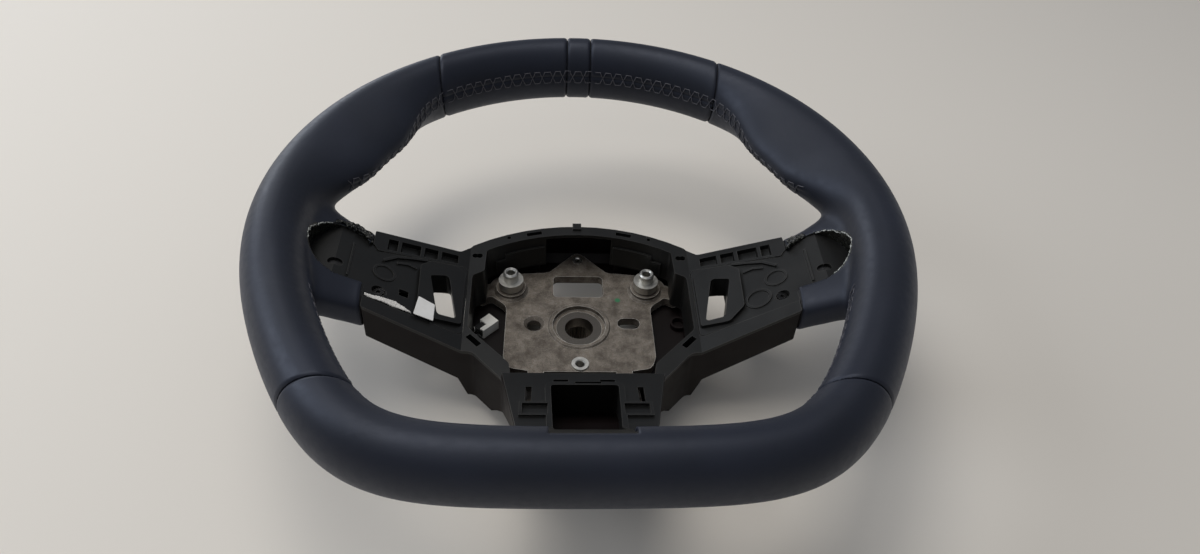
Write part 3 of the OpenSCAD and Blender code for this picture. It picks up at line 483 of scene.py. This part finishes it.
def flip(shape):
    """Mirrors a bmesh to the left side of the wheel."""
    bmesh.ops.scale(shape, vec=(-1, 1, 1), verts=shape.verts)
    bmesh.ops.reverse_faces(shape, faces=shape.faces)


def always(angle):
    """Full strength all round."""
    return 1.0


# Top panels, top band and bottom panel: hides cut to lengths of the grip, their edges turned under
# and butted, and sewn up along the inner side. The bottom panel has a mouth for the lower spoke.
upper_place, upper_along = seam_plane(UPPER_SEAM, 0.18)
lower_place, lower_along = seam_plane(-LOWER_SEAM, 0.137)
GAP = 0.25
BAND_HALF = 8.0
across = Vector((1, 0, 0))


def mirrored(vector):
    """The same vector on the left of the wheel."""
    return Vector((-vector.x, vector.y, vector.z))


for side in ("right", "left"):
    top = grip_tube(50, 94, 1.0, cap=False)
    press_stitch_groove(top, always)
    cut_and_turn(top, upper_place + upper_along * GAP, upper_along)
    cut_and_turn(top, across * (BAND_HALF + GAP), across)
    if side == "left":
        flip(top)
    top_piece = skin_piece("top_panel_" + side, top)
    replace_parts(top_piece, "leather_top_" + side)

band = grip_tube(84, 96, 0.75, cap=False)
press_stitch_groove(band, always)
cut_and_turn(band, across * (BAND_HALF - GAP), -across)
cut_and_turn(band, -across * (BAND_HALF - GAP), across)
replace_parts(skin_piece("top_band", band), "leather_top_band")

bottom = grip_tube(-137, -43, 0.9, cap=False)
press_stitch_groove(bottom, always)
cut_and_turn(bottom, lower_place - lower_along * GAP, -lower_along)
cut_and_turn(bottom, mirrored(lower_place - lower_along * GAP), mirrored(-lower_along))
TONGUE_HALF = 19.4
TONGUE_Y = -149.5
TONGUE_LOW = 60.0
LIP_Y = -152.0
LIP_Z = 91.0
SHOULDER_HALF = 36.0
SHOULDER_Y = -151.0
SHOULDER_LOW = 40.0
SHOULDER_HIGH = 68.0
for place, direction in (((TONGUE_HALF, 0, 0), (1, 0, 0)), ((-TONGUE_HALF, 0, 0), (1, 0, 0)),
                         ((SHOULDER_HALF, 0, 0), (1, 0, 0)), ((-SHOULDER_HALF, 0, 0), (1, 0, 0)),
                         ((0, 0, SHOULDER_HIGH), (0, 0, 1)), ((0, 0, SHOULDER_LOW), (0, 0, 1)),
                         ((0, LIP_Y, 0), (0, 1, 0)), ((0, TONGUE_Y, 0), (0, 1, 0))):
    bmesh.ops.bisect_plane(bottom, geom=elements(bottom), plane_co=place, plane_no=direction, dist=1e-5)


def in_mouth(spot):
    """Whether a point lies in the opening that takes the lower spoke."""
    back = LIP_Y if spot.z > LIP_Z else TONGUE_Y
    tongue = abs(spot.x) < TONGUE_HALF and spot.z > TONGUE_LOW and spot.y > back
    return tongue or (abs(spot.x) < SHOULDER_HALF and spot.y > SHOULDER_Y
                      and SHOULDER_LOW < spot.z < SHOULDER_HIGH)


bmesh.ops.delete(bottom, geom=[f for f in bottom.faces if in_mouth(f.calc_center_median())], context="FACES")
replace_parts(skin_piece("bottom_panel", bottom), "leather_bottom")


# Side panels: one piece of leather each, drawn over the grip, the thumb rest and the spoke root,
# then glued down into the recess for the tray's end
SPOKE_TOP = 20.5
SPOKE_LOW = -41.0
RECESS = Vector((134.5, -5.5, 0))
RECESS_R = 19.9
RECESS_SIDE = 9.6
RECESS_FLOOR = 2.5
STEP_X = 137.0
ABOVE_RIM = 105.0
FRONT_Z = 55.0


def spoke_front(x):
    """Front height of the side spoke's mouldings."""
    return 34.0 + 0.57 * max(0.0, x - 68.0)


def root_point(u, v):
    """A point of the spoke root that the leather is drawn over."""
    t = max(0.0, -0.12 + 1.12 * u)
    x = ROOT_X + (-0.12 + 1.12 * u) * 39
    y_hi = SPOKE_TOP + 1 + 21 * t**1.8
    y_lo = SPOKE_LOW - 1 - 9 * t * t
    z_hi = spoke_front(ROOT_X) + 3 + 23 * t**1.2
    z_lo = 42.0 + 18 * t
    c = math.cos(-2 * math.pi * v)
    s = math.sin(-2 * math.pi * v)
    return Vector((x, (y_hi + y_lo) / 2 + math.copysign(abs(c) ** 0.55, c) * (y_hi - y_lo) / 2,
                   (z_hi + z_lo) / 2 + math.copysign(abs(s) ** 0.55, s) * (z_hi - z_lo) / 2))


def recess_lean(x, z):
    """How far the recess wall leans inwards above its foot."""
    return 0.3 * max(0.0, z - spoke_front(min(x, STEP_X)) + RECESS_FLOOR)


def inside_recess(spot):
    """How far a point lies inside the recess outline at its own height."""
    return max(RECESS_R - math.hypot(spot.x - RECESS.x, spot.y - RECESS.y),
               min(RECESS.x - spot.x, spot.y - RECESS.y + RECESS_R,
                   RECESS.y + RECESS_SIDE - spot.y)) - recess_lean(spot.x, spot.z)


def recess_block():
    """The space over the tray's end, down to just below the tray's face."""
    block = bmesh.new()
    outline = [(RECESS.x + RECESS_R * math.cos(math.radians(a)),
                RECESS.y + RECESS_R * math.sin(math.radians(a))) for a in range(-90, 150, 8)]
    outline += [(117.1, RECESS.y + RECESS_SIDE), (110, RECESS.y + RECESS_SIDE), (110, RECESS.y - RECESS_R)]
    face = block.faces.new([block.verts.new((x, y, spoke_front(min(x, STEP_X)) - RECESS_FLOOR))
                            for x, y in outline])
    grown = bmesh.ops.extrude_face_region(block, geom=[face])
    for vert in grown["geom"]:
        if isinstance(vert, bmesh.types.BMVert):
            lean = recess_lean(vert.co.x, ABOVE_RIM)
            out = Vector((vert.co.x - RECESS.x, vert.co.y - RECESS.y, 0))
            if abs(out.length - RECESS_R) > 0.01 or out.x < -15.8:
                out.x = 0
            if out.x == 0:
                lean = min(lean, 9.0)
            vert.co -= out.normalized() * lean
            vert.co.z = ABOVE_RIM
    bmesh.ops.triangulate(block, faces=block.faces)
    bmesh.ops.recalc_face_normals(block, faces=block.faces)
    return block


def side_body(cell):
    """The padded side of the wheel with its spoke root, as one closed skin with the recess in it."""
    body = grip_tube(-LOWER_SEAM - 5, UPPER_SEAM + 5, 1.2)
    body.from_mesh(as_mesh("root_work", wrapped(24, 48, root_point)))
    body = remeshed(body, cell * 1.3)
    near_joint = [v for v in body.verts if 138 < v.co.x < 165 and abs(v.co.y + 5) < 60]
    smoothed(body, near_joint, 14)
    smoothed(body, body.verts, 3)
    work = placed("side_work", as_mesh("side_work", body))
    tool = placed("recess_work", as_mesh("recess_work", recess_block()))
    cut = work.modifiers.new("recess", "BOOLEAN")
    cut.operation = "DIFFERENCE"
    cut.solver = "EXACT"
    cut.object = tool
    body = bmesh.new()
    body.from_mesh(evaluated(work))
    bpy.data.objects.remove(tool)
    body = remeshed(body, cell)
    smoothed(body, body.verts, 2)
    return body


def off_the_root(angle):
    """The sewn seam ends at the spoke root's corners."""
    rise = math.degrees(angle)
    return ease((rise - 12) / 4) + ease((-19 - rise) / 4)


def on_the_root(spot):
    """Whether a point lies on the spoke root, away from the rest of the rim."""
    return abs(spot.y + 8) < 60


# Glued leather: where the hide is stuck down inside the recess, dried contact glue has left it
# glossy, olive black and wrinkled; its pale streaks are painted highlights, glints on the wrinkles.
glue_and_glint_leather, tree, skin = new_material("leather_with_glue_and_painted_glints")
spot = add_node(tree, "ShaderNodeTexCoord")
glue_and_glint_noise = add_node(tree, "ShaderNodeTexNoise", {"Vector": spot.outputs["Object"], "Scale": 1 / 0.004,
                                               "Detail": 5.0, "Roughness": 0.65, "Distortion": 1.2})
crinkle = add_node(tree, "ShaderNodeTexNoise", {"Vector": spot.outputs["Object"], "Scale": 1 / 0.0015,
                                                "Detail": 4.0, "Roughness": 0.6})
# The dark and olive stops are the glue's own colour; the pale end of the ramp is a painted highlight.
glue_and_glint_tint = ramp(tree, glue_and_glint_noise.outputs["Fac"], "#060707", "#74766f", 0.35, 0.74)
olive = glue_and_glint_tint.color_ramp.elements.new(0.6)
olive.color = linear("#15160f")
tree.links.new(glue_and_glint_tint.outputs[0], skin.inputs["Base Color"])
glue_rough = spread(tree, glue_and_glint_noise.outputs["Fac"], 0.35, 0.65, 0.14, 0.42)
tree.links.new(glue_rough.outputs[0], skin.inputs["Roughness"])
bump(tree, skin, 0.7, 0.0006, crinkle.outputs["Fac"])


body = side_body(1.15)
press_stitch_groove(body, off_the_root)
bmesh.ops.delete(body, geom=[f for f in body.faces if inside_recess(f.calc_center_median()) > 0.9
                             and f.calc_center_median().z > FRONT_Z], context="FACES")
cut_and_turn(body, upper_place - upper_along * GAP, -upper_along)
cut_and_turn(body, lower_place + lower_along * GAP, lower_along)
cut_and_turn(body, Vector((ROOT_X + 0.2, 0, 0)), across, sink=0.8, reach=1.8, within=on_the_root)
# The recess walls take the glued leather, with its painted glints.
for face in body.faces:
    middle = face.calc_center_median()
    if inside_recess(middle) > -1.3 and middle.z > FRONT_Z and 116 < middle.x and abs(face.normal.z) < 0.75:
        face.material_index = 1
side_mesh = as_mesh("side_panel_shape", body)
for side in ("right", "left"):
    panel = bmesh.new()
    panel.from_mesh(side_mesh)
    if side == "left":
        flip(panel)
    side_piece = skin_piece("side_panel_" + side, panel)
    side_piece.data.materials.append(glue_and_glint_leather)
    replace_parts(side_piece, "leather_" + side)


# Cross stitch: the butted leather edges are sewn together by hand with dark grey polyester thread,
# 0.56 mm thick. Stitches of 4 mm lie along both edges every 7 mm, and two slanting ones cross over
# the valley in each gap.
STITCH = 4
PITCH = 7
ROW_ANGLE = 11
THREAD_R = 0.28
thread_fibre, tree, skin = new_material("grey_polyester_thread")
spot = add_node(tree, "ShaderNodeTexCoord")
twist = add_node(tree, "ShaderNodeTexNoise", {"Vector": spot.outputs["Object"], "Scale": 1 / 0.0009,
                                              "Detail": 2.0})
thread_tint = ramp(tree, twist.outputs["Fac"], "#2f2f35", "#5a5a62")
tree.links.new(thread_tint.outputs[0], skin.inputs["Base Color"])
skin.inputs["Roughness"].default_value = 0.55
bump(tree, skin, 0.5, 0.0002, twist.outputs["Fac"])

bpy.context.view_layer.update()
hides = [BVHTree.FromObject(panel, bpy.context.evaluated_depsgraph_get()) for panel in panels]


def on_leather(start, direction, reach=12.0):
    """The first point of the leather that a straight line meets, or None."""
    hits = [hide.ray_cast(start * MM, direction, reach * MM) for hide in hides]
    found = [hit for hit in hits if hit[0] is not None]
    return min(found, key=lambda hit: hit[3])[0] / MM if found else None


def seam_point(angle, offset, lift):
    """A point just above the leather beside the sewn seam."""
    phi = stitch_phi(angle) + math.radians(offset)
    base = grip_point(angle, phi)
    along = grip_point(angle + 0.005, phi) - grip_point(angle - 0.005, phi)
    normal = along.cross(grip_point(angle, phi + 0.02) - grip_point(angle, phi - 0.02)).normalized()
    if normal.dot(base - rim_centre(angle)) < 0:
        normal = -normal
    hit = on_leather(base + normal * 6, -normal)
    return None if hit is None else hit + normal * lift


def laid_lines(name, lines, radius, material):
    """Thin round strands through lists of (point, thickness), as one mesh piece."""
    curve = bpy.data.curves.new(name, "CURVE")
    curve.dimensions = "3D"
    curve.bevel_depth = radius * MM
    curve.bevel_resolution = 1
    curve.use_fill_caps = True
    for line in lines:
        spline = curve.splines.new("POLY")
        spline.points.add(len(line) - 1)
        for knot, (spot, share) in zip(spline.points, line):
            knot.co = (*(spot * MM), 1.0)
            knot.radius = share
    data = evaluated(placed(name + "_work", curve))
    data.name = name
    data.shade_smooth()
    data.materials.clear()
    data.materials.append(material)
    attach(placed(name, data), "root")


hand = random.Random(5)
stitches = []
for first, last in ((15.0, 165.0), (-159.0, -21.0)):
    angle = math.radians(first)
    while angle < math.radians(last):
        run = grip_point(angle + 0.01, stitch_phi(angle)) - grip_point(angle, stitch_phi(angle))
        step = 0.01 / run.length
        s = angle + hand.uniform(-0.25, 0.25) * step
        slant = ROW_ANGLE + hand.uniform(-0.8, 0.8)
        for side in (-ROW_ANGLE, ROW_ANGLE):
            row = side + hand.uniform(-0.6, 0.6)
            stitches.append([(s, row, -0.1), (s + STITCH / 2 * step, row, 0.3),
                             (s + STITCH * step, row, -0.1)])
        for side in (-slant, slant):
            stitches.append([(s + (3.6 + 3.8 * t) * step, side * (1 - 2 * t), 0.15 + 0.9 * t * (1 - t))
                             for t in (0.0, 0.25, 0.5, 0.75, 1.0)])
        angle += PITCH * step
lines = [[seam_point(*knot) for knot in stitch] for stitch in stitches]
lines = [[(spot, 1.0) for spot in line] for line in lines
         if None not in line and max((a - b).length for a, b in zip(line, line[1:])) < 4]
laid_lines("cross_stitch", lines, THREAD_R, thread_fibre)


# Glue edge: a broken bead of dried contact glue round the rim of the right recess,
# 0.1 to 1.3 mm wide, and a shorter one at the left; its pale flecks are a painted highlight on the rim.
glue_bead_and_highlight, tree, skin = new_material("glue_bead_with_painted_highlight")
spot = add_node(tree, "ShaderNodeTexCoord")
bead_highlight_flecks = add_node(tree, "ShaderNodeTexNoise", {"Vector": spot.outputs["Object"], "Scale": 1 / 0.0012,
                                               "Detail": 4.0})
# The pale end of this ramp is a painted highlight along the recess rim.
bead_highlight_tint = ramp(tree, bead_highlight_flecks.outputs["Fac"], "#1c1d1c", "#b4b7b3", 0.35, 0.62)
tree.links.new(bead_highlight_tint.outputs[0], skin.inputs["Base Color"])
skin.inputs["Roughness"].default_value = 0.3
DOWN = Vector((0, 0, -1))
START_Z = 118.0

for side, sign, sweep in (("right", 1, (-75, 84)), ("left", -1, (-20, 70))):
    bead = []
    for degree in range(sweep[0], sweep[1], 3):
        a = math.radians(degree)
        spot = None
        reach = RECESS_R + 3 + 0.5 * noise.noise(Vector((degree * 0.11, 2.0 * sign, 0)))
        while reach > 5:
            x = RECESS.x + reach * math.cos(a)
            lower = on_leather(Vector((sign * x, RECESS.y + reach * math.sin(a), START_Z)), DOWN, 70)
            if lower is None or (spot is not None and spot.z - lower.z > 2.5):
                break
            spot = lower
            reach -= 0.4
        if spot is not None and (not bead or (spot - bead[-1][0]).length < 6):
            bead.append((spot, max(0.12, 0.8 + 1.1 * noise.noise(Vector((degree * 0.17, sign, 3))))))
    laid_lines("glue_and_highlight_edge_" + side, [bead], 0.45, glue_bead_and_highlight)


# Torn leather ends: beside each recess the glued end of the hide has been pulled off the moulding,
# and lies in small glossy wrinkles 1 to 3 mm high. Each has its middle, its half sizes and a seed.
TORN_ENDS = (("left", -1, (130.5, 13.0), (10.0, 8.0), 1),
             ("right", 1, (126.0, 11.0), (7.0, 6.5), 2))
for side, sign, place, half, seed in TORN_ENDS:
    torn = bmesh.new()
    bmesh.ops.create_grid(torn, x_segments=44, y_segments=36, size=1.0)
    lost = []
    for vert in torn.verts:
        u, v = vert.co.x, vert.co.y
        edge = 1 - math.hypot(u, v) - 0.35 * noise.noise(Vector((u * 2.2, v * 2.2, seed)))
        x, y = place[0] + u * half[0], place[1] + v * half[1]
        spot = on_leather(Vector((sign * x, y, START_Z)), DOWN, 80)
        if edge < 0 or spot is None or spot.z < FRONT_Z:
            lost.append(vert)
            continue
        fold = abs(noise.noise(Vector((x * 0.35 + y * 0.25, y * 0.5 - x * 0.1, seed * 7.0))))
        crease = noise.noise(Vector((x * 0.9, y * 0.7, seed * 3.0)))
        vert.co = spot + Vector((0, 0, 0.1 + min(1.0, edge * 4) * (3.4 * fold + 0.7 * crease + 0.3)))
    bmesh.ops.delete(torn, geom=lost, context="VERTS")
    long_ones = [f for f in torn.faces if max(e.calc_length() for e in f.edges) > 2.5]
    bmesh.ops.delete(torn, geom=long_ones, context="FACES")
    bmesh.ops.delete(torn, geom=[v for v in torn.verts if not v.link_faces], context="VERTS")
    bmesh.ops.recalc_face_normals(torn, faces=torn.faces)
    if sum(f.normal.z for f in torn.faces) < 0:
        bmesh.ops.reverse_faces(torn, faces=torn.faces)
    bmesh.ops.scale(torn, vec=(MM, MM, MM), verts=torn.verts)
    torn_data = as_mesh("torn_end_" + side, torn)
    torn_data.shade_smooth()
    # The torn ends take the glued leather, with its painted glints.
    torn_data.materials.append(glue_and_glint_leather)
    torn_piece = placed("torn_end_" + side, torn_data)
    torn_wall = torn_piece.modifiers.new("thickness", "SOLIDIFY")
    torn_wall.thickness = 0.5 * MM
    torn_wall.offset = 0.0
    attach(torn_piece, "root")


# Black mouldings: glass-filled polyamide, injection moulded, satin black with a fine spark-eroded grain.
# Edges and ribs get a painted highlight: their colour is mixed towards a lighter tint.
def moulded(name, dark, light, rough, shine, edge_highlight_tint):
    """A black injection-moulded plastic with 0.7 mm grain and a painted highlight on its edges."""
    made, tree, skin = new_material(name)
    spot = add_node(tree, "ShaderNodeTexCoord")
    grain = add_node(tree, "ShaderNodeTexNoise", {"Vector": spot.outputs["Object"], "Scale": 1 / 0.0007,
                                                  "Detail": 3.0, "Roughness": 0.6})
    swirl = add_node(tree, "ShaderNodeTexNoise", {"Vector": spot.outputs["Object"], "Scale": 1 / 0.02,
                                                  "Detail": 4.0})
    skin.inputs["Specular IOR Level"].default_value = shine
    tint = add_node(tree, "ShaderNodeMix", {"Factor": swirl.outputs["Fac"], 6: linear(dark),
                                            7: linear(light)}, data_type="RGBA")
    # Painted highlight: edges sharper than 0.6 mm are mixed towards the lighter edge tint.
    painted_edge_highlight = edge_mask(tree, 0.0006, 0.84, 0.98)
    shade = add_node(tree, "ShaderNodeMix", {"Factor": painted_edge_highlight.outputs[0], 6: tint.outputs[2],
                                             7: linear(edge_highlight_tint)}, data_type="RGBA")
    tree.links.new(shade.outputs[2], skin.inputs["Base Color"])
    gloss = spread(tree, swirl.outputs["Fac"], 0.3, 0.7, rough - 0.06, rough + 0.06)
    tree.links.new(gloss.outputs[0], skin.inputs["Roughness"])
    bump(tree, skin, 0.2, 0.0001, grain.outputs["Fac"])
    return made


# Its edges get a painted highlight in a grey black.
black_polyamide = moulded("black_polyamide", "#0d0d0d", "#161615", 0.4, 0.34, "#3c3b39")
dress(black_polyamide, "bay_frame", "lower_frame", "tray_left", "tray_right", "window_bracket_left",
      "window_bracket_right", "lead_plug")


# Rear cover: the same polyamide blend in a duller, slightly brown black.
# It is screwed to the cast arms from behind.
# Its edges get the same painted highlight, in a dark brown.
rear_plastic = moulded("brownish_black_polyamide", "#080303", "#0e0606", 0.55, 0.2, "#1d1413")
dress(rear_plastic, "rear_cover")


# Screws: thread-forming steel screws with a black phosphate coat, driven through tray and cover.
# The drive edges are rubbed to bare steel.
screw_steel, tree, skin = new_material("black_phosphated_steel")
spot = add_node(tree, "ShaderNodeTexCoord")
coat = add_node(tree, "ShaderNodeTexNoise", {"Vector": spot.outputs["Object"], "Scale": 1 / 0.0008,
                                             "Detail": 4.0})
coat_tint = ramp(tree, coat.outputs["Fac"], "#1a1a1b", "#2e2e30")
coat_worn = edge_mask(tree, 0.0003, 0.78, 0.96)
screw_shade = add_node(tree, "ShaderNodeMix", {"Factor": coat_worn.outputs[0], 6: coat_tint.outputs[0],
                                               7: linear("#85837f")}, data_type="RGBA")
tree.links.new(screw_shade.outputs[2], skin.inputs["Base Color"])
skin.inputs["Metallic"].default_value = 0.85
skin.inputs["Roughness"].default_value = 0.4
dress(screw_steel, "tray_screws", "cover_screws")


# Heater lead: a woven sleeve over thin wires, held behind the left tray.
# It ends in the white connector on the floor of the cover.
sleeve, tree, skin = new_material("woven_black_sleeve")
spot = add_node(tree, "ShaderNodeTexCoord")
braid = add_node(tree, "ShaderNodeTexWave", {"Vector": spot.outputs["Object"], "Scale": 300.0,
                                             "Distortion": 4.0},
                 wave_type="BANDS", bands_direction="DIAGONAL")
braid_tint = ramp(tree, braid.outputs["Fac"], "#101010", "#262626")
tree.links.new(braid_tint.outputs[0], skin.inputs["Base Color"])
skin.inputs["Roughness"].default_value = 0.8
dress(sleeve, "heater_lead")


# Connector housing: white nylon, moulded.
# A little yellowed, with a faint gloss.
nylon, tree, skin = new_material("white_nylon")
spot = add_node(tree, "ShaderNodeTexCoord")
nylon_cloud = add_node(tree, "ShaderNodeTexNoise", {"Vector": spot.outputs["Object"], "Scale": 1 / 0.006})
nylon_tint = ramp(tree, nylon_cloud.outputs["Fac"], "#d4d1c8", "#ecebe6")
tree.links.new(nylon_tint.outputs[0], skin.inputs["Base Color"])
skin.inputs["Roughness"].default_value = 0.4
dress(nylon, "lead_connector")


# Label flag: a blank white polyester label round the lead.
# Its face is left bare.
label_film, tree, skin = new_material("white_label_film")
spot = add_node(tree, "ShaderNodeTexCoord")
film_cloud = add_node(tree, "ShaderNodeTexNoise", {"Vector": spot.outputs["Object"], "Scale": 1 / 0.004})
film_tint = ramp(tree, film_cloud.outputs["Fac"], "#dedcd8", "#f1f0ee")
tree.links.new(film_tint.outputs[0], skin.inputs["Base Color"])
skin.inputs["Roughness"].default_value = 0.35
dress(label_film, "lead_label")


# Fleece strip: white polyester fleece tape that keeps the parts from rattling.
# Its fibres lie in tufts about 0.8 mm wide, and the tape is wavy.
fleece, tree, skin = new_material("white_polyester_fleece")
spot = add_node(tree, "ShaderNodeTexCoord")
fibres = add_node(tree, "ShaderNodeTexNoise", {"Vector": spot.outputs["Object"], "Scale": 1 / 0.0008,
                                               "Detail": 6.0, "Roughness": 0.75, "Distortion": 1.5})
fleece_tint = ramp(tree, fibres.outputs["Fac"], "#bcb8b2", "#f0eeea")
tree.links.new(fleece_tint.outputs[0], skin.inputs["Base Color"])
skin.inputs["Roughness"].default_value = 0.95
bump(tree, skin, 0.8, 0.0003, fibres.outputs["Fac"])
strip = bmesh.new()
strip.from_mesh(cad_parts["fleece_strip"].data)
bmesh.ops.remove_doubles(strip, verts=strip.verts, dist=1e-6)
bmesh.ops.scale(strip, vec=(1000, 1000, 1000), verts=strip.verts)
strip = remeshed(strip, 0.3)
strip.normal_update()
for vert in strip.verts:
    tuft = noise.noise(vert.co * 1.4) * 0.35 + noise.noise(vert.co * 0.25) * 0.5
    vert.co += vert.normal * max(-0.25, tuft) + Vector((0, 0, 0.25 + 0.3 * math.sin(vert.co.x * 0.5)))
bmesh.ops.scale(strip, vec=(MM, MM, MM), verts=strip.verts)
strip_data = as_mesh("fleece_tape", strip)
strip_data.shade_smooth()
strip_data.materials.append(fleece)
fleece_tape = placed("fleece_tape", strip_data)
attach(fleece_tape, "root")
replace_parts(fleece_tape, "fleece_strip")
